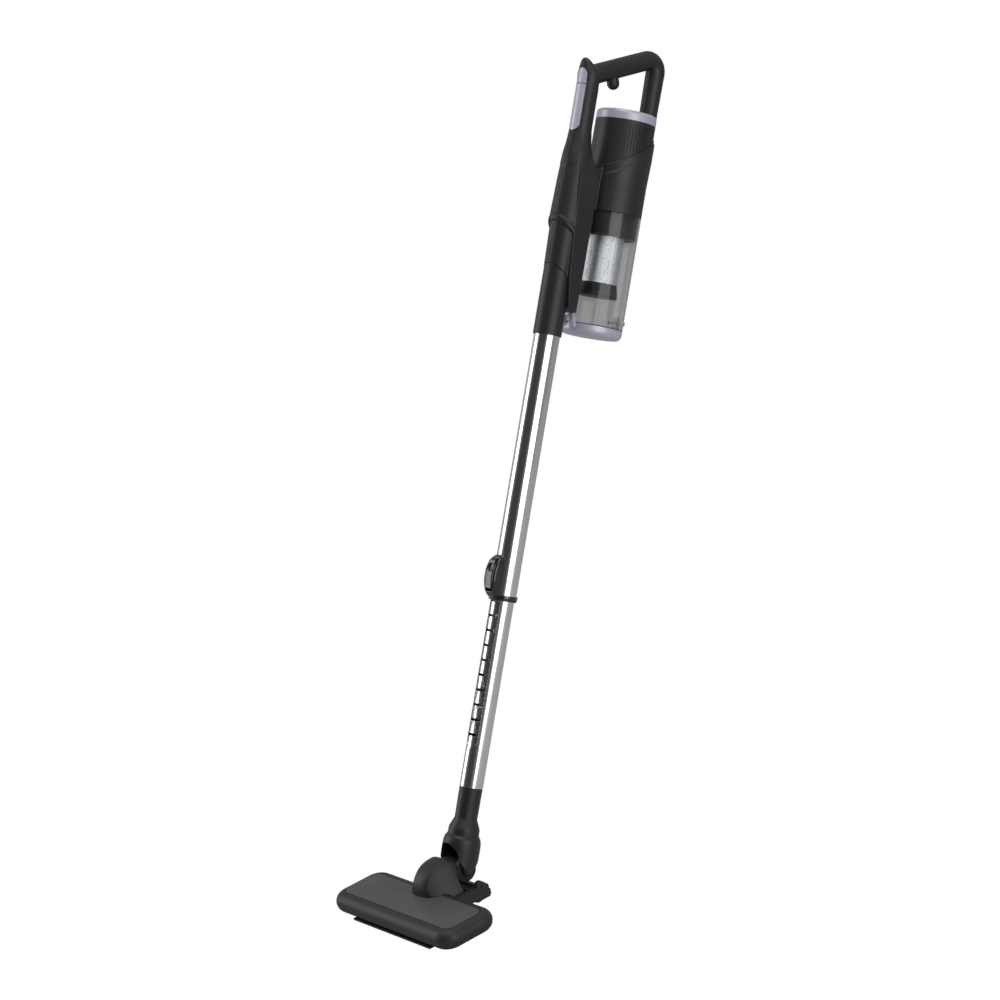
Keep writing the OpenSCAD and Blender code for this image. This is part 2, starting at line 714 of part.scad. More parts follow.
module guide_bush() color("#303030") stick() difference() {
  union() {
    rod(tube_ri - 0.02, s_clamp + 0.3, s_clamp + 30);
    rod(tube_r + 1.2, s_clamp - 2.4, s_clamp + 0.35);
  }
  rod(lower_r + run_fit, s_clamp - 5, s_clamp + 40);
  box(-6.4, 6.4, -tube_r - 3, -8, s_clamp + 7, s_clamp + 18);
}

module lower_tube() color("#d4d6d8") stick() difference() {
  tube_of(lower_r, lower_ri, s_tube, slider_s);
  // pressed channel with its round lower end
  intersection() {
    tube_of(lower_r + 2, lower_r - rack_deep, rack_lo, rack_hi);
    pill(lower_r * sin(rack_half), rack_lo, rack_hi, -30, 0);
  }
  // notches
  intersection() {
    pill(lower_r * sin(rack_half) - 0.6, rack_lo, rack_hi, -30, 0);
    for (i = [1:floor((rack_hi - rack_lo - 8) / notch_pitch)])
      box(-15, 15, -30, 0, rack_lo + notch_pitch * i - 4, rack_lo + notch_pitch * i - 4 + notch_h);
  }
}

module slider_ring() color("#303030") stick()
  tube_of(tube_ri - 0.08, lower_r, slider_s - 20, slider_s);

// ---------- neck ----------
module neck_yoke() color("#262626") stick() difference() {
  union() {
    intersection() {
      rotate_extrude($fn = 96) polygon([[0, -9], [23.2, -9], [yoke_x, 2], [yoke_x + 0.3, 14],
        [yoke_x + 0.4, 28], [yoke_x, 35], [yoke_x - 1.2, 40], [yoke_x - 3.4, 43.6],
        [yoke_x - 4.2, 44], [yoke_x - 4.4, 52], [yoke_x - 5, 54.4], [lower_r - 0.55, 66],
        [lower_r - 0.2, s_tube - 0.1], [0, s_tube - 0.1]]);
      union() {
        side_prism([[-32, 26], [-7.4, 1.6], [7.4, 1.6], [32, 26], [32, s_tube], [-32, s_tube]], 60);
        cross_rod(7.6, 60, 0, 0);
      }
    }
    rod(lower_ri - run_fit, s_tube - 5, s_tube + 38);
  }
  cross_rod(drum_r + free_gap, 2 * drum_x + 0.7, 0, 0);
  box(-drum_x - 0.35, drum_x + 0.35, -40, 40, -30, 4);
  translate([0, 0, 13]) rotate([90, 0, 0]) cylinder(r = drum_x + 0.35, h = 40);
  box(-drum_x - 0.35, drum_x + 0.35, -40, 0, 0, 13);
  rod(12.2, 0, s_tube + 50);
  for (k = [-1, 1]) cross_rod(pin_r, 20, 0, 0, k * 25);
  for (k = [-1, 1]) cross_rod(4.6, 3, 0, 0, k * (yoke_x + 0.4));
}

module pivot_pins() color("#3c3c3c") stick() for (k = [-1, 1]) {
  cross_rod(pin_r, 9.4, 0, 0, k * 20);
  cross_rod(4.4, 1.2, 0, 0, k * 24.75);
}

module along_y(r, y0, y1, z = neck_z) {
  translate([0, y0, z]) rotate([-90, 0, 0]) cylinder(r = r, h = y1 - y0);
}

module swivel_collar() color("#2f2f2f") difference() {
  union() {
    along_y(ring_r, dome_y - 10, dome_y + 4);
    along_y(drum_x, dome_y + 3, neck_y - 6);
    cross_rod(drum_r, 2 * drum_x, neck_y, neck_z);
  }
  along_y(14, dome_y - 20, neck_y);
  cross_rod(13.4, 2 * drum_x - 6.4, neck_y, neck_z);
  // way up into the yoke
  box(-10.5, 10.5, neck_y - 3, neck_y + 11, neck_z, neck_z + 30);
  box(-10.5, 10.5, neck_y, neck_y + 30, neck_z - 1, neck_z + 11);
  for (k = [-1, 1]) cross_rod(pin_r + run_fit, 10, neck_y, neck_z, k * 19);
}

module collar_clip() color("#3a3a3a") difference() {
  along_y(ring_r + 0.6, dome_y - 13.5, dome_y - 10.3);
  along_y(15, dome_y - 20, dome_y);
}

// ---------- head ----------
dome_base = head_h + 0.2;

module neck_dome() color("#272727") difference() {
  union() {
    difference() {
      hull() {
        along_y(dome_r, dome_y - 9, dome_y);
        translate([0, dome_y - 24, dome_base]) scale([1.75, 1.05, 1]) cylinder(r = 21, h = 2);
        translate([0, dome_y - 22, dome_base + 12]) sphere(r = 19, $fn = 32);
      }
      translate([-100, -60, -10]) cube([200, 60 + head_d / 2 + 0.3, 10 + dome_base]);
      translate([-100, 0, -10]) cube([200, 200, 10 + neck_z - dome_r]);
    }
  }
  along_y(ring_r + run_fit, dome_y - 10.2, dome_y + 5);
  along_y(ring_r + 0.6, dome_y - 14, dome_y - 10.1);
  along_y(17, dome_y - 28, dome_y);
  translate([-15, dome_y - 34, dome_base - 5]) cube([30, 22, neck_z - dome_base + 5]);
}

module rounded_slab(w, d, r, z0, z1) {
  translate([-w / 2 + r, -d / 2, z0]) cube([w - 2 * r, d, z1 - z0]);
  translate([-w / 2, -d / 2 + r, z0]) cube([w, d - 2 * r, z1 - z0]);
  for (i = [-1, 1]) for (j = [-1, 1])
    translate([i * (w / 2 - r), j * (d / 2 - r), z0]) cylinder(r = r, h = z1 - z0);
}

module head_outer() {
  cx = head_w / 2 - head_corner;
  cy = head_d / 2 - head_corner;
  for (i = [-1, 1]) for (j = [-1, 1]) translate([i * cx, j * cy, roll_z]) rotate_extrude($fn = 96) {
    translate([0, -roll_r]) square([head_corner - roll_r, 2 * roll_r]);
    intersection() {
      translate([head_corner - roll_r, 0]) circle(r = roll_r);
      square([100, 100], center = false);
    }
    intersection() {
      translate([head_corner - roll_r, 0]) circle(r = roll_r);
      translate([0, -100]) square([100, 100]);
    }
  }
  for (j = [-1, 1]) cross_rod(roll_r, 2 * cx, j * (head_d / 2 - roll_r), roll_z);
  for (i = [-1, 1]) translate([i * (head_w / 2 - roll_r), -cy, roll_z]) rotate([-90, 0, 0])
    cylinder(r = roll_r, h = 2 * cy);
  translate([-cx, -head_d / 2 + roll_r, sole_z]) cube([2 * cx, head_d - 2 * roll_r, 2 * roll_r]);
  translate([-head_w / 2 + roll_r, -cy, sole_z]) cube([head_w - 2 * roll_r, 2 * cy, 2 * roll_r]);
}

screw_xy = [for (i = [-1, 1]) for (j = [-1, 1]) [i * (head_w / 2 - 40), j == 1 ? head_d / 2 - 20 : -head_d / 2 + 27]];

module roller_pockets() {
  for (k = [-1, 1]) translate([k * roller_x, roller_y, 0]) cube([11, 13, 22], center = true);
}

module head_shell() color("#242424") difference() {
  head_outer();
  difference() {
    rounded_slab(head_w - 26, head_d - 26, head_corner - 13, -1, head_h - 4.2);
    for (p = screw_xy) translate([p[0], p[1], 5.1]) cylinder(r = 4.4, h = 40);
  }
  for (p = screw_xy) translate([p[0], p[1], 0]) cylinder(r = screw_r, h = 16);
  // seat of the top panel
  rounded_slab(panel_w + 2.4, panel_d + 2.4, 13.2, head_h - 1.5, head_h + 5);
  translate([-15, dome_y - 34, 10]) cube([30, head_d / 2 - 4 - dome_y + 34, 40]);
  roller_pockets();
}

module head_panel() color("#333333") difference() {
  rounded_slab(panel_w, panel_d, 12, head_h - 1.5, dome_base);
  translate([-15, dome_y - 34, 10]) cube([30, head_d, 40]);
}

module sole_plate() color("#1c1c1c") difference() {
  union() {
    rounded_slab(head_w - 26.4, head_d - 26.4, head_corner - 13.2, 2.2, 5);
    // glide rails
    translate([-82, -head_d / 2 + 4, 0.6]) cube([164, 12, 2.6]);
    translate([-82, -1, 0]) cube([164, 8, 3]);
  }
  translate([-mouth_x, mouth_y0, -1]) cube([2 * mouth_x, mouth_y1 - mouth_y0 - 2, 10]);
  roller_pockets();
  for (p = screw_xy) translate([p[0], p[1], -1]) cylinder(r = screw_r + 0.2, h = 10);
  for (p = screw_xy) translate([p[0], p[1], -1]) cylinder(r = 3.1, h = 4.6);
}

module bristles(y) {
  difference() {
    translate([-mouth_x, y, 0.2]) cube([2 * mouth_x, 2.6, 2]);
    for (i = [-10:10]) translate([6.6 * i - 0.6, y - 1, -1]) cube([1.2, 6, 2.2]);
  }
}

module bristle_strips() color("#5a5a5a") {
  bristles(mouth_y0 - 3.4);
  bristles(mouth_y1 - 1.8);
}

module rear_bracket() color("#222222") difference() {
  union() {
    for (k = [-1, 1]) {
      translate([k * arm_x - arm_w / 2, head_d / 2 - 14, 9]) cube([arm_w, axle_y - head_d / 2 + 14, 17]);
      cross_rod(8, arm_w, axle_y, 24, k * arm_x);
      translate([k * arm_x - arm_w / 2, axle_y - 8, 6.5]) cube([arm_w, 20, 17.5]);
    }
    translate([-arm_x, neck_y + 10, 6.5]) cube([2 * arm_x, 5, 8]);
    // web under the neck, between the wheels
    translate([-arm_x + 16.5, head_d / 2 - 6, 6.5]) cube([2 * arm_x - 33, neck_y + 18 - head_d / 2, 3]);
  }
  head_outer();
  cross_rod(axle_r, 120, axle_y, axle_z);
  for (k = [-1, 1]) cross_rod(1.6, 3, axle_y, 25, k * (arm_x + arm_w / 2));
}

module rear_axle() color("#a8a8a8") cross_rod(axle_r, 2 * arm_x + arm_w - 1, axle_y, axle_z);

module wheel(k) {
  difference() {
    cross_rod(wheel_r, 9, axle_y, axle_z, k * (arm_x - 10.5));
    cross_rod(axle_r + run_fit, 20, axle_y, axle_z, k * (arm_x - 10.5));
    cross_rod(wheel_r - 3, 2, axle_y, axle_z, k * (arm_x - 5.6));
  }
}

module wheel_right() color("#1a1a1a") wheel(1);

module wheel_left() color("#1a1a1a") wheel(-1);

module roller(k) {
  difference() {
    cross_rod(roller_r, 9, roller_y, roller_r, k * roller_x);
    cross_rod(1.2 + run_fit, 20, roller_y, roller_r, k * roller_x);
  }
}

module roller_right() color("#1a1a1a") roller(1);

module roller_left() color("#1a1a1a") roller(-1);

module roller_pins() color("#a8a8a8") for (k = [-1, 1])
  cross_rod(1.2, 10.8, roller_y, roller_r, k * roller_x);

module head_screws() color("#8a8a8a") for (p = screw_xy) {
  translate([p[0], p[1], 3.6]) cylinder(r = screw_r, h = 12);
  translate([p[0], p[1], 2.3]) cylinder(r = 3, h = 1.3);
}

housing_right();
housing_left();
main_shell();
handle_right();
handle_left();
housing_screws();
tube_socket();
socket_button();
inlet_duct();
mode_button();
status_strip();
battery_pack();
control_board();
charge_jack();
trigger();
trigger_switch();
motor_bulkhead();
motor_body();
impeller();
motor_mounts();
motor_cover();
exhaust_filter();
exhaust_ring();
exhaust_grille();
dust_cup();
cup_seal();
cyclone_head();
mesh_filter();
cyclone_skirt();
fine_filter();
cup_lid();
lid_seal();
hinge_pin();
lid_latch();
latch_pin();
upper_tube();
clamp_body();
guide_bush();
clamp_rocker();
rocker_pin();
lower_tube();
slider_ring();
neck_yoke();
pivot_pins();
swivel_collar();
collar_clip();
neck_dome();
head_panel();
head_shell();
sole_plate();
bristle_strips();
rear_bracket();
rear_axle();
wheel_right();
wheel_left();
roller_right();
roller_left();
roller_pins();
head_screws();
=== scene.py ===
"""Looks of the cordless stick vacuum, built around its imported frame.

Stick pieces are drawn in the stick's own frame, in millimetres: x across, t to the rear, s along
the stick from the neck's pivot. Head pieces are drawn in the row frame, in millimetres.
"""
import json
import math

import bpy
import numpy as np
from mathutils import Matrix, Vector


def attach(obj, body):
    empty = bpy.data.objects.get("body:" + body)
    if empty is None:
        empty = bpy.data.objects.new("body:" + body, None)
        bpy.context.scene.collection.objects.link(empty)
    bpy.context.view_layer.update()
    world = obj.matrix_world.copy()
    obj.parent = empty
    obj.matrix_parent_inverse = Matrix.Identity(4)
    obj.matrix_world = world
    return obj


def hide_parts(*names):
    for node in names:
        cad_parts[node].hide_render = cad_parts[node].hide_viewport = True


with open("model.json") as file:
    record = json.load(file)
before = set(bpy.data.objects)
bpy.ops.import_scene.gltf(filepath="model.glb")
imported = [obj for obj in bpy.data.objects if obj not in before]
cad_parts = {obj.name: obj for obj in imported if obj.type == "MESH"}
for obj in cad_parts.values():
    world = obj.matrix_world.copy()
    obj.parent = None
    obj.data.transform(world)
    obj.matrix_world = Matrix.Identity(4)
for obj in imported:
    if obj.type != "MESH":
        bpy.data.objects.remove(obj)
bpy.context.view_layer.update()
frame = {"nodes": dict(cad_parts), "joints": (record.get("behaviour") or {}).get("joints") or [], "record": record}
NODES = frame["nodes"]
JOINTS = {j["name"]: j for j in frame["joints"]}
MM = 0.001

# the stick's frame, from the joints
ALONG = Vector(JOINTS["tube_telescope"]["axis"]).normalized()
REAR = Vector((0, ALONG.z, -ALONG.y))
PIVOT = Vector(JOINTS["neck_pitch"]["pos_m"])
STICK = Matrix.Translation(PIVOT) @ Matrix((
    (1, 0, 0, 0), (0, REAR.y, ALONG.y, 0), (0, REAR.z, ALONG.z, 0), (0, 0, 0, 1)))
WORLD = Matrix.Identity(4)


def span(node, place=STICK):
    """lowest and highest corner of a CAD node in a drawing frame, in millimetres"""
    back = place.inverted()
    co = np.array([back @ v.co for v in NODES[node].data.vertices]) / MM
    return co.min(0), co.max(0)


# ---------------------------------------------------------------- meshing of smooth forms
def blend_min(a, b, k):
    h = np.clip(0.5 + 0.5 * (b - a) / k, 0, 1)
    return b * (1 - h) + a * h - k * h * (1 - h)


def blend_max(a, b, k):
    return -blend_min(-a, -b, k)


def step(v, soft):
    """0 below 0, 1 above soft"""
    h = np.clip(v / soft, 0, 1)
    return h * h * (3 - 2 * h)


def surface_net(field, low, high, cell):
    """closed quad mesh of the surface where field changes sign: (vertices, faces)"""
    low = np.array(low, float)
    n = np.ceil((np.array(high) - low) / cell).astype(int) + 1
    axes = [low[i] + cell * np.arange(n[i]) for i in range(3)]
    values = field(*np.meshgrid(*axes, indexing="ij"))
    cells = n - 1
    total = np.zeros((int(np.prod(cells)), 3))
    count = np.zeros(int(np.prod(cells)))
    edges = []
    for a in range(3):
        first = np.take(values, range(0, n[a] - 1), a)
        second = np.take(values, range(1, n[a]), a)
        at = np.argwhere((first < 0) != (second < 0))
        v0 = first[tuple(at.T)]
        v1 = second[tuple(at.T)]
        point = at.astype(float)
        point[:, a] += v0 / (v0 - v1)
        b, c = (a + 1) % 3, (a + 2) % 3
        around = []
        for db, dc in ((-1, -1), (0, -1), (0, 0), (-1, 0)):
            cell_at = at.copy()
            cell_at[:, b] += db
            cell_at[:, c] += dc
            inside = ((cell_at >= 0) & (cell_at < cells)).all(1)
            flat = np.ravel_multi_index(np.clip(cell_at, 0, cells - 1).T, cells)
            np.add.at(total, flat[inside], point[inside])
            np.add.at(count, flat[inside], 1)
            around.append(np.where(inside, flat, -1))
        edges.append((np.array(around).T, v0 < 0))
    used = count > 0
    ids = np.full(len(count), -1)
    ids[used] = np.arange(used.sum())
    verts = low + cell * total[used] / count[used][:, None]
    faces = []
    for around, outward in edges:
        whole = (around >= 0).all(1)
        quads = ids[around]
        quads[~outward] = quads[~outward][:, ::-1]
        faces.append(quads[whole])
    verts = settle(field, verts, cell)
    return verts, np.concatenate(faces)


def settle(field, verts, cell, rounds=4, h=0.02):
    """move the vertices onto the surface"""
    for _ in range(rounds):
        v = field(*verts.T)
        slope = np.stack([(field(*(verts + h * e).T) - field(*(verts - h * e).T)) / (2 * h)
                          for e in np.eye(3)], 1)
        move = -slope * (v / np.maximum((slope ** 2).sum(1), 0.05))[:, None]
        size = np.linalg.norm(move, axis=1, keepdims=True)
        verts = verts + move * np.minimum(1, 0.4 * cell / np.maximum(size, 1e-9))
    return verts


def make(name, verts, faces, place, body, material, smooth_deg=40, stands_for=()):
    """a mesh piece drawn in millimetres in the frame place"""
    mesh = bpy.data.meshes.new(name)
    mesh.from_pydata([tuple(v) for v in np.asarray(verts) * MM], [], [tuple(f) for f in faces])
    mesh.transform(place)
    mesh.validate()
    mesh.update()
    obj = bpy.data.objects.new(name, mesh)
    bpy.context.scene.collection.objects.link(obj)
    finish_piece(obj, body, material, smooth_deg)
    if stands_for:
        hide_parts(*stands_for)
    return obj


def finish_piece(obj, body, material, smooth_deg=40):
    obj.data.materials.clear()
    obj.data.materials.append(material)
    soften(obj.data, smooth_deg)
    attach(obj, body)


def soften(mesh, degrees):
    """smooth shading with edges sharper than this left crisp"""
    mesh.shade_smooth()
    mesh.set_sharp_from_angle(angle=math.radians(degrees))


def skin(name, field, low, high, cell, place, body, material, stands_for=(), smooth_deg=50):
    verts, faces = surface_net(field, low, high, cell)
    return make(name, verts, faces.tolist(), place, body, material, smooth_deg, stands_for)


def mirrored(name, source, body, material, stands_for=()):
    mesh = source.data.copy()
    mesh.name = name
    mesh.transform(Matrix.Scale(-1, 4, Vector((1, 0, 0))))
    mesh.flip_normals()
    obj = bpy.data.objects.new(name, mesh)
    bpy.context.scene.collection.objects.link(obj)
    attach(obj, body)
    if stands_for:
        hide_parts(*stands_for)
    return obj


def lathe(profile, centre_t, turns=128):
    """closed ring turned from a closed (radius, s) outline about the line t = centre_t"""
    n = len(profile)
    verts = [(r * math.cos(2 * math.pi * k / turns), centre_t + r * math.sin(2 * math.pi * k / turns), s)
             for k in range(turns) for r, s in profile]
    faces = [(k * n + i, ((k + 1) % turns) * n + i, ((k + 1) % turns) * n + (i + 1) % n,
              k * n + (i + 1) % n) for k in range(turns) for i in range(n)]
    return verts, faces


# ---------------------------------------------------------------- materials
def nodes_of(name):
    mat = bpy.data.materials.new(name)
    mat.use_nodes = True
    tree = mat.node_tree
    return mat, tree, tree.nodes["Principled BSDF"]


def link(tree, a, b):
    tree.links.new(a, b)


def noise(tree, scale, detail=4.0, stretch=(1, 1, 1)):
    coords = tree.nodes.new("ShaderNodeTexCoord")
    mapping = tree.nodes.new("ShaderNodeMapping")
    mapping.inputs["Scale"].default_value = stretch
    tex = tree.nodes.new("ShaderNodeTexNoise")
    tex.inputs["Scale"].default_value = scale
    tex.inputs["Detail"].default_value = detail
    link(tree, coords.outputs["Object"], mapping.inputs["Vector"])
    link(tree, mapping.outputs["Vector"], tex.inputs["Vector"])
    return tex.outputs["Fac"]


def ramp(tree, factor, low, high, p0=0.35, p1=0.65):
    node = tree.nodes.new("ShaderNodeValToRGB")
    node.color_ramp.elements[0].position = p0
    node.color_ramp.elements[1].position = p1
    node.color_ramp.elements[0].color = low if len(low) == 4 else (*low, 1)
    node.color_ramp.elements[1].color = high if len(high) == 4 else (*high, 1)
    link(tree, factor, node.inputs["Fac"])
    return node.outputs["Color"]


def spread(tree, factor, low, high):
    node = tree.nodes.new("ShaderNodeMapRange")
    node.inputs["To Min"].default_value = low
    node.inputs["To Max"].default_value = high
    link(tree, factor, node.inputs["Value"])
    return node.outputs["Result"]


def bump(tree, height, strength, distance, normal=None):
    node = tree.nodes.new("ShaderNodeBump")
    node.inputs["Strength"].default_value = strength
    node.inputs["Distance"].default_value = distance
    link(tree, height, node.inputs["Height"])
    if normal is not None:
        link(tree, normal, node.inputs["Normal"])
    return node.outputs["Normal"]


def edge_round(tree, radius_mm):
    node = tree.nodes.new("ShaderNodeBevel")
    node.samples = 4
    node.inputs["Radius"].default_value = radius_mm * MM
    return node.outputs["Normal"]


def moulded(name, color, rough, variation=0.12, grain=2600, grain_mm=0.02, coat=0.0, metal=0.0,
            edge_mm=0.7, stretch=(1, 1, 1)):
    """moulded or painted plastic, metal or rubber: broad tone change, fine grain, soft edges"""
    mat, tree, bsdf = nodes_of(name)
    broad = noise(tree, 18, 3)
    fine = noise(tree, grain, 3, stretch)
    dark = tuple(c * (1 - variation) for c in color)
    light = tuple(min(1, c * (1 + variation)) for c in color)
    link(tree, ramp(tree, broad, dark, light), bsdf.inputs["Base Color"])
    link(tree, spread(tree, fine, rough - 0.05, rough + 0.05), bsdf.inputs["Roughness"])
    normal = edge_round(tree, edge_mm) if edge_mm else None
    link(tree, bump(tree, fine, 0.25, grain_mm * MM, normal), bsdf.inputs["Normal"])
    bsdf.inputs["Metallic"].default_value = metal
    bsdf.inputs["Coat Weight"].default_value = coat
    bsdf.inputs["Coat Roughness"].default_value = 0.08
    bsdf.inputs["IOR"].default_value = 1.48
    return mat


def clear_plastic(name):
    mat, tree, bsdf = nodes_of(name)
    haze = noise(tree, 60, 3)
    link(tree, ramp(tree, haze, (0.93, 0.94, 0.95), (0.97, 0.98, 0.98)), bsdf.inputs["Base Color"])
    link(tree, spread(tree, haze, 0.02, 0.06), bsdf.inputs["Roughness"])
    bsdf.inputs["Transmission Weight"].default_value = 1.0
    bsdf.inputs["IOR"].default_value = 1.3
    return mat


def woven_mesh(name):
    """fine steel mesh: bright wires round small dark holes"""
    mat, tree, bsdf = nodes_of(name)
    coords = tree.nodes.new("ShaderNodeTexCoord")
    cellular = tree.nodes.new("ShaderNodeTexVoronoi")
    cellular.inputs["Scale"].default_value = 620
    cellular.inputs["Randomness"].default_value = 0.55
    link(tree, coords.outputs["Object"], cellular.inputs["Vector"])
    holes = cellular.outputs["Distance"]
    link(tree, ramp(tree, holes, (0.10, 0.10, 0.11), (0.86, 0.87, 0.9), 0.18, 0.42),
         bsdf.inputs["Base Color"])
    link(tree, spread(tree, holes, 0.2, 0.45), bsdf.inputs["Roughness"])
    link(tree, bump(tree, holes, 1.0, 0.6 * MM), bsdf.inputs["Normal"])
    bsdf.inputs["Metallic"].default_value = 1.0
    return mat


BLACK = moulded("black_satin", (0.014, 0.014, 0.015), 0.44)
BLACK_HEAD = moulded("black_head", (0.018, 0.018, 0.019), 0.50)
PANEL = moulded("grey_panel", (0.078, 0.078, 0.080), 0.50)
GLOSS = moulded("black_gloss", (0.012, 0.012, 0.013), 0.16, coat=0.6)
INNER = moulded("black_inner", (0.020, 0.020, 0.022), 0.5)
LAVENDER = moulded("lavender_paint", (0.50, 0.48, 0.57), 0.36, variation=0.03, metal=0.25, coat=0.2,
                   edge_mm=0.5)
CHROME = moulded("polished_tube", (0.80, 0.81, 0.83), 0.13, variation=0.02, grain=900,
                 grain_mm=0.002, metal=1.0, edge_mm=0.3, stretch=(40, 1, 1))
STEEL = moulded("turned_steel", (0.50, 0.51, 0.53), 0.30, metal=1.0, edge_mm=0.2)
RUBBER = moulded("soft_rubber", (0.018, 0.018, 0.020), 0.75, grain=1800, grain_mm=0.05)
MOTOR = moulded("cast_can", (0.45, 0.46, 0.48), 0.38, metal=1.0)
CELLS = moulded("cell_wrap", (0.06, 0.16, 0.26), 0.35)
BOARD = moulded("lacquered_board", (0.015, 0.11, 0.045), 0.35)
CLOTH = moulded("pleated_cloth", (0.66, 0.66, 0.62), 0.9, grain=3200, grain_mm=0.12, edge_mm=0)
CLEAR = clear_plastic("clear_cup")
MESH = woven_mesh("woven_steel")

SLOT_MATERIAL = {
    "shell_black": BLACK, "gloss_black": GLOSS, "inner_black": INNER, "lavender": LAVENDER,
    "tube_metal": CHROME, "steel": STEEL, "mesh_steel": MESH, "clear_cup": CLEAR,
    "seal_rubber": RUBBER, "motor_metal": MOTOR, "impeller_metal": MOTOR, "cells": CELLS,
    "board": BOARD, "switch": INNER, "filter_cloth": CLOTH, "bristle": BLACK_HEAD}
NODE_MATERIAL = {"head_shell": BLACK_HEAD, "head_panel": PANEL, "neck_dome": BLACK_HEAD,
                 "rear_bracket": BLACK_HEAD, "sole_plate": BLACK_HEAD, "pivot_pins": INNER,
                 "rear_axle": INNER}

for part in frame["record"]["subparts"]:
    node = NODES[part["node"]]
    node.data.materials.clear()
    node.data.materials.append(NODE_MATERIAL.get(part["node"], SLOT_MATERIAL[part["material_slot"]]))
    soften(node.data, 24)

# ---------------------------------------------------------------- sizes read from the frame
ring_lo, ring_hi = span("exhaust_ring")
socket_lo, socket_hi = span("tube_socket")
trigger_lo, trigger_hi = span("trigger")
cover_lo, cover_hi = span("motor_cover")
cup_hi = span("dust_cup")[1]
tube_hi = span("upper_tube")[1]
strip_lo = span("status_strip")[0]
button_hi = span("mode_button")[1]

cup_t = (ring_lo[1] + ring_hi[1]) / 2
cover_r = (cover_hi[0] - cover_lo[0]) / 2
cup_r = cover_r + 1.4
s_shell = cup_hi[2] + 0.3
s_sock = socket_lo[2]
s_foot = ring_hi[2] + 0.2
sock_r = socket_hi[0]
spine_r = 15.0
spine_t = strip_lo[1] + spine_r + 0.35
skin_t = 2.4
bar_r, knee_r, post_r = 13.3, 13.1, 12.3
bar_rise = math.radians(24)
bar_s0 = s_shell + 172
post_t = cup_t + cup_r - 4.4
corner_s = bar_s0 + (post_t - spine_t) * math.tan(bar_rise)
corner_in = 22.5  # from the corner of bar and post to where the bend starts
taper_s = corner_s - 75
lip_r = sock_r + 3.8
duct_x = lip_r + 0.3
duct_t = cup_t - cup_r - 7


def seam_s(t):
    return s_sock + 80 - 0.75 * t


def lip_s(t):
    return s_shell - 43 - 0.75 * t


def rod_field(x, t, s, a, b, ra, rb):
    """round-ended rod between two (t, s) points, its radius changing along it"""
    ab = np.subtract(b, a)
    u = np.clip(((t - a[0]) * ab[0] + (s - a[1]) * ab[1]) / (ab @ ab), 0, 1)
    off = np.sqrt(x * x + (t - a[0] - u * ab[0]) ** 2 + (s - a[1] - u * ab[1]) ** 2)
    return off - ra - u * (rb - ra)


def along_points(s, *stations):
    """value at s from (station, value) pairs"""
    return np.interp(s, [p[0] for p in stations], [p[1] for p in stations])


# ---------------------------------------------------------------- housing and handle
def column_field(x, t, s):
    across = np.hypot(x, t - spine_t) - spine_r
    crown = (s - (s_shell + 182) + 1.25 * (t - spine_t)) * 0.62
    return blend_max(blend_max(across, crown, 10), s_shell + 55 - s, 1)


def spine_field(x, t, s):
    upper = along_points(s, (s_shell - 60, lip_r), (s_shell - 14, lip_r), (s_shell + 2, lip_r - 0.6),
                         (s_shell + 36, lip_r - 1.7), (s_shell + 53, lip_r - 2.8),
                         (s_shell + 67, lip_r - 4.2), (s_shell + 92, lip_r - 11), (s_shell + 110, 4))
    plain = along_points(s, (s_sock + 96, sock_r + 0.5), (s_shell - 40, sock_r + 1.4))
    above = step(s - lip_s(t), 1.6)
    rolled = 1.0 * step(6 - np.abs(s - lip_s(t) - 5), 6)
    radius = plain + (upper - plain + rolled) * above
    across = np.hypot(x, t) - radius
    return blend_max(blend_max(across, (seam_s(t) + 0.4 - s) * 0.8, 1.2), s - s_shell - 100, 1)


def duct_field(x, t, s):
    front = along_points(s, (s_sock + 42, 9), (s_sock + 86, 1), (s_shell - 15, -5), (s_shell + 55, -8))
    rear = along_points(s, (s_sock + 35, duct_t - 2), (s_sock + 70, duct_t - 1), (s_shell - 5, duct_t),
                        (s_shell + 40, duct_t), (s_shell + 48, duct_t - 4), (s_shell + 66, 13),
                        (s_shell + 79, 9), (s_shell + 86, -8))
    side = along_points(s, (s_shell + 30, duct_x), (s_shell + 60, duct_x - 4.4), (s_shell + 92, 10))
    low = s_sock + 42 - 0.47 * (t - 9)
    block = blend_max(np.abs(x) - side, blend_max(front - t, (t - rear) * 0.8, 2), 1.4)
    return blend_max(blend_max(block, (low - s) * 0.9, 1), s - s_shell - 82, 1)


def handle_field(x, t, s):
    # bar and post joined by a round bend
    turn = math.pi / 2 + bar_rise
    bend = corner_in / math.tan(turn / 2)
    mid_t, mid_s = post_t - bend, corner_s - corner_in
    path = [(mid_t + bend * math.sin(a - bar_rise), mid_s + bend * math.cos(a - bar_rise))
            for a in np.linspace(0, turn, 13)]
    loop = rod_field(x, t, s, (spine_t, bar_s0), path[0], bar_r, knee_r)
    for a, b in zip(path, path[1:]):
        loop = np.minimum(loop, rod_field(x, t, s, a, b, knee_r, knee_r))
    loop = np.minimum(loop, rod_field(x, t, s, path[-1], (post_t, taper_s), knee_r, post_r))
    straight = rod_field(x, t, s, (post_t, taper_s), (post_t, s_foot - 40), post_r, post_r)
    loop = np.minimum(loop, straight)
    return np.maximum(loop, s_foot - s)


def local_bar(t, s):
    """(along the bar, up from its axis)"""
    dt, ds = t - spine_t, s - bar_s0
    return (dt * math.cos(bar_rise) + ds * math.sin(bar_rise),
            ds * math.cos(bar_rise) - dt * math.sin(bar_rise))


trig_r = trigger_hi[0]
trig_mid = (trigger_lo + trigger_hi) / 2
trig_u = local_bar(trig_mid[1], trig_mid[2])[0]


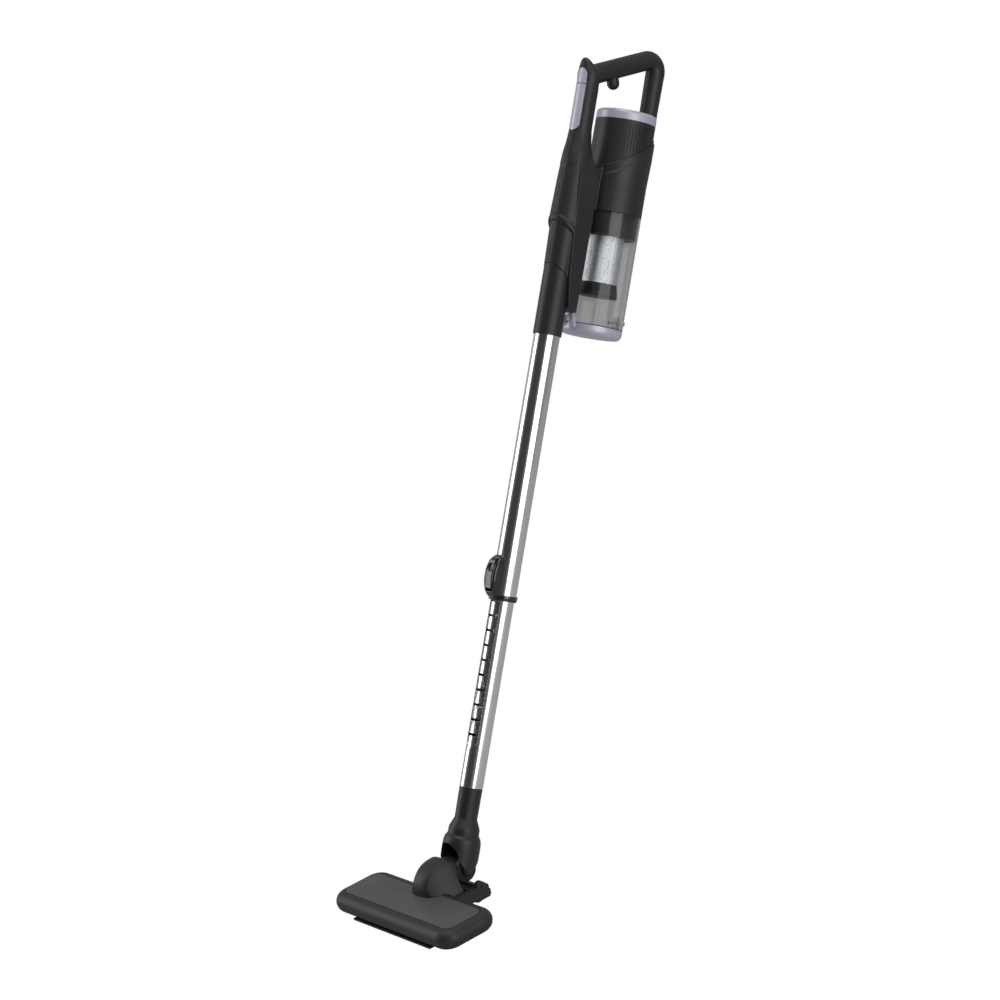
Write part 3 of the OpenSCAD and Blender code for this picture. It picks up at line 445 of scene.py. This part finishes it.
def handset_field(x, t, s):
    column = column_field(x, t, s)
    body = blend_min(spine_field(x, t, s), duct_field(x, t, s), 1.2)
    body = blend_min(body, column, 8)
    body = blend_min(body, handle_field(x, t, s), 7)
    u, up = local_bar(t, s)
    # a shell, with the ways for the tube, the duct, the strip and the trigger left open
    inner = np.maximum(body, -(body + skin_t))
    ways = [
        np.maximum(np.hypot(x, t) - sock_r + 1.4, s - s_shell + 41),
        np.maximum.reduce([np.abs(x) - 12.3, 4 - t, np.abs(s - s_shell + 24) - 13.4]),
        np.maximum.reduce([np.hypot(x, s - np.clip(s, strip_lo[2] + 9.2, button_hi[2] - 9.2)) - 9.5,
                           t - spine_t, spine_r - 4.5 - np.hypot(x, t - spine_t)]),
        np.maximum.reduce([np.hypot(x, u - trig_u) - trig_r - 0.4, up + 4]),
    ]
    for way in ways:
        inner = np.maximum(inner, -way)
    return inner


HANDSET_LOW = (-1.5, -26, s_sock + 34)
HANDSET_HIGH = (27, post_t + post_r + 3, s_shell + 232)
right = skin("housing_right_skin", lambda x, t, s: np.maximum(handset_field(x, t, s), 0.06 - x),
             HANDSET_LOW, HANDSET_HIGH, 0.95, STICK, "handset", BLACK,
             ("housing_right", "handle_right"))
mirrored("housing_left_skin", right, "handset", BLACK,
         ("housing_left", "handle_left"))

# ---------------------------------------------------------------- shell over the cup
rim_r = cup_r + 1.3


def lower_s(t):
    return s_shell + 46 + 0.755 * (t - cup_t + cup_r - 1)


def upper_s(t):
    return s_shell + 59 + 0.65 * (t - cup_t + cup_r)


def shell_field(x, t, s):
    rho = np.hypot(x, t - cup_t)
    rim = along_points(s, (s_shell + 42, cup_r), (s_shell + 78, rim_r))
    band = along_points(s, (s_shell + 20, cup_r - 1.1), (s_shell + 78, cup_r - 0.2))
    low = blend_max(rho - rim, (s - lower_s(t)) * 0.8, 0.9)
    mid = blend_max(rho - band, (s - upper_s(t)) * 0.84, 0.6)
    rib = rod_field(x, t, s, (post_t, s_shell + 78), (post_t, s_foot + 30), post_r, post_r)
    solid = blend_min(np.minimum(low, mid), rib, 3)
    bridge = np.maximum.reduce([np.abs(x) - 14, duct_t - t, t - cup_t + cup_r - 6,
                                s - s_shell - 40 - 1.9 * (t - duct_t)])
    solid = np.minimum(solid, bridge)
    solid = np.maximum(solid, np.maximum(s_shell - s, s - s_foot + 0.1))
    solid = np.maximum(solid, -np.maximum(rho - cover_r + 1.2, s_shell + 3 - s))
    return np.maximum(solid, -(np.maximum(rho - cup_r + 14, s - s_shell - 10)))


skin("main_shell_skin", shell_field, (-46, duct_t - 2, s_shell - 2),
     (46, post_t + post_r + 3, s_foot + 2), 1.15, STICK, "handset", BLACK,
     ("main_shell",))

# ---------------------------------------------------------------- neck dome on the head
head_hi = span("head_panel", WORLD)[1]
dome_hi = span("neck_dome", WORLD)[1]
pivot_z = PIVOT.z / MM
mouth_y = dome_hi[1]
base_z = head_hi[2]
shell_lo, shell_hi = span("head_shell", WORLD)
head_back = shell_hi[1]
roll_r = (shell_hi[2] - shell_lo[2]) / 2
collar_r = 22.05  # bore in which the collar turns


def dome_field(x, y, z):
    """hood over the collar that slopes down to the front, flat-cheeked, hollow for the collar"""
    u = np.maximum(mouth_y - y, 0) / 47
    tall = np.abs(z - base_z) / (dome_hi[2] - base_z)
    form = ((np.abs(x / 37) ** 2.3 + tall ** 2.3 + u ** 2.6) ** 0.43 - 1) * 30
    cheek = np.abs(x) - 26 - 0.46 * (50 - z) + 0.008 * (mouth_y - y) ** 2
    form = blend_max(form, cheek, 1.5)
    form = np.maximum(form, y - mouth_y)
    # its foot lies on the panel and follows the head's rolled rim down
    over = np.maximum(roll_r ** 2 - np.maximum(y - head_back + roll_r, 0) ** 2, 0)
    foot = np.where(y < head_back, base_z - roll_r + np.sqrt(over), base_z - roll_r + 0.3)
    form = np.maximum(form, (foot - z) * 0.8)
    bore = np.maximum(np.hypot(x, z - pivot_z) - collar_r, mouth_y - 10.2 - y)
    clip = np.maximum(np.hypot(x, z - pivot_z) - 22.6, np.abs(y - mouth_y + 12.1) - 2)
    way = np.maximum(np.hypot(x, z - pivot_z) - 17, mouth_y - 28 - y)
    down = np.maximum.reduce([np.abs(x) - 15, np.abs(y - mouth_y + 23) - 11, z - pivot_z])
    return np.maximum.reduce([form, -bore, -clip, -way, -down])


skin("neck_dome_skin", dome_field, (-43, mouth_y - 50, 16), (43, mouth_y + 2, dome_hi[2] + 2), 0.9,
     WORLD, "head", BLACK_HEAD, ("neck_dome",))

# ---------------------------------------------------------------- clamp pod
pod_lo, pod_hi = span("clamp_body")
tube_r = tube_hi[0]
rock_lo, rock_hi = span("clamp_rocker")


def pod_field(x, t, s):
    mid = (pod_lo[2] + pod_hi[2]) / 2
    half = (pod_hi[2] - pod_lo[2]) / 2
    front = -pod_lo[1]
    swell = np.sqrt((x / 11.2) ** 4 + ((s - mid) / half) ** 4) ** 0.5
    pod = (swell - 1) * 11
    face = -t - along_points(s, (pod_lo[2], tube_r + 6), (pod_lo[2] + 10, front - 3),
                             (pod_lo[2] + 22, front), (pod_hi[2] - 22, front),
                             (pod_hi[2] - 10, front - 3), (pod_hi[2], tube_r + 3))
    body = blend_max(blend_max(pod, face, 4), t + 8, 1)
    ring = np.maximum(np.hypot(x, t) - tube_r - 1.9, np.abs(s - pod_lo[2] - 2.5) - 2.4)
    form = np.minimum(body, ring)
    bore = np.hypot(x, t) - tube_r - 0.02
    well = np.maximum.reduce([np.abs(x) - 6.7, s - rock_hi[2] - 1, rock_lo[2] - 1.5 - s])
    return np.maximum.reduce([form, -bore, -well])


skin("clamp_pod_skin", pod_field, (-22, pod_lo[1] - 2, pod_lo[2] - 2), (22, 22, pod_hi[2] + 2),
     0.75, STICK, "upper", GLOSS, ("clamp_body",))

# ---------------------------------------------------------------- mesh sleeve
mesh_lo, mesh_hi = span("mesh_filter")
mesh_r = mesh_hi[0]
verts, faces = lathe([(mesh_r, mesh_lo[2]), (mesh_r, mesh_hi[2]), (mesh_r - 1.2, mesh_hi[2]),
                      (mesh_r - 1.2, mesh_lo[2])], cup_t)
make("mesh_sleeve", verts, faces, STICK, "cup", MESH, 30, ("mesh_filter",))

# ---------------------------------------------------------------- floor, light, camera
FLOOR_SIZE = 14.0
floor_mesh = bpy.data.meshes.new("floor")
half = FLOOR_SIZE / 2
floor_mesh.from_pydata([(-half, -half, 0), (half, -half, 0), (half, half, 0), (-half, half, 0)], [],
                       [(0, 1, 2, 3)])
floor = bpy.data.objects.new("floor", floor_mesh)
bpy.context.scene.collection.objects.link(floor)
floor.location.z = -0.0005
white, white_tree, white_bsdf = nodes_of("pale_floor")
link(white_tree, ramp(white_tree, noise(white_tree, 2, 2), (0.50, 0.50, 0.50), (0.54, 0.54, 0.54)),
     white_bsdf.inputs["Base Color"])
white_bsdf.inputs["Roughness"].default_value = 0.9
lit = white_tree.nodes.new("ShaderNodeEmission")
seen = white_tree.nodes.new("ShaderNodeLightPath")
either = white_tree.nodes.new("ShaderNodeMixShader")
link(white_tree, seen.outputs["Is Camera Ray"], either.inputs["Fac"])
link(white_tree, white_bsdf.outputs["BSDF"], either.inputs[1])
link(white_tree, lit.outputs["Emission"], either.inputs[2])
link(white_tree, either.outputs["Shader"], white_tree.nodes["Material Output"].inputs["Surface"])
floor_mesh.materials.append(white)

world = bpy.data.worlds.new("studio")
bpy.context.scene.world = world
world.use_nodes = True
studio = world.node_tree
backdrop = studio.nodes["Background"]
backdrop.inputs["Strength"].default_value = 1.0


def toward(azimuth, elevation):
    """unit vector; azimuth runs from the front, -Y, towards +X"""
    az, el = math.radians(azimuth), math.radians(elevation)
    return Vector((math.sin(az) * math.cos(el), -math.cos(az) * math.cos(el), math.sin(el)))


# soft surround with one dark side, seen as plain white behind the object
facing = studio.nodes.new("ShaderNodeVectorMath")
facing.operation = "DOT_PRODUCT"
facing.inputs[1].default_value = toward(15, 25)
link(studio, studio.nodes.new("ShaderNodeTexCoord").outputs["Generated"], facing.inputs[0])
surround = ramp(studio, facing.outputs["Value"], (0.42, 0.42, 0.43), (0.05, 0.05, 0.05), 0.45, 0.92)
plain = studio.nodes.new("ShaderNodeMix")
plain.data_type = "RGBA"
link(studio, studio.nodes.new("ShaderNodeLightPath").outputs["Is Camera Ray"], plain.inputs["Factor"])
link(studio, surround, plain.inputs["A"])
plain.inputs["B"].default_value = (1, 1, 1, 1)
link(studio, plain.outputs["Result"], backdrop.inputs["Color"])

CENTRE = Vector((0, 0.33, 0.5))


def softbox(name, azimuth, elevation, distance, size, power):
    light = bpy.data.lights.new(name, "AREA")
    light.shape = "RECTANGLE"
    light.size, light.size_y = size
    light.energy = power
    obj = bpy.data.objects.new(name, light)
    obj.location = CENTRE + distance * toward(azimuth, elevation)
    obj.rotation_euler = (CENTRE - obj.location).to_track_quat("-Z", "Y").to_euler()
    bpy.context.scene.collection.objects.link(obj)
    return obj


softbox("key", 82, 6, 3.0, (2.2, 2.6), 40)
softbox("fill", -53, 17, 3.0, (1.6, 2.4), 26)
softbox("top", 60, 78, 2.6, (1.8, 2.4), 26)

camera_data = bpy.data.cameras.new("camera")
camera_data.sensor_width = 36
camera_data.lens = 94.97
camera = bpy.data.objects.new("camera", camera_data)
bpy.context.scene.collection.objects.link(camera)
camera.matrix_world = Matrix((
    (0.6359, -0.1079, 0.7641, 2.660), (0.7492, 0.3236, -0.5778, -1.741),
    (-0.1849, 0.9400, 0.2866, 1.494), (0, 0, 0, 1)))
bpy.context.scene.camera = camera
bpy.context.scene.view_settings.view_transform = "Standard"
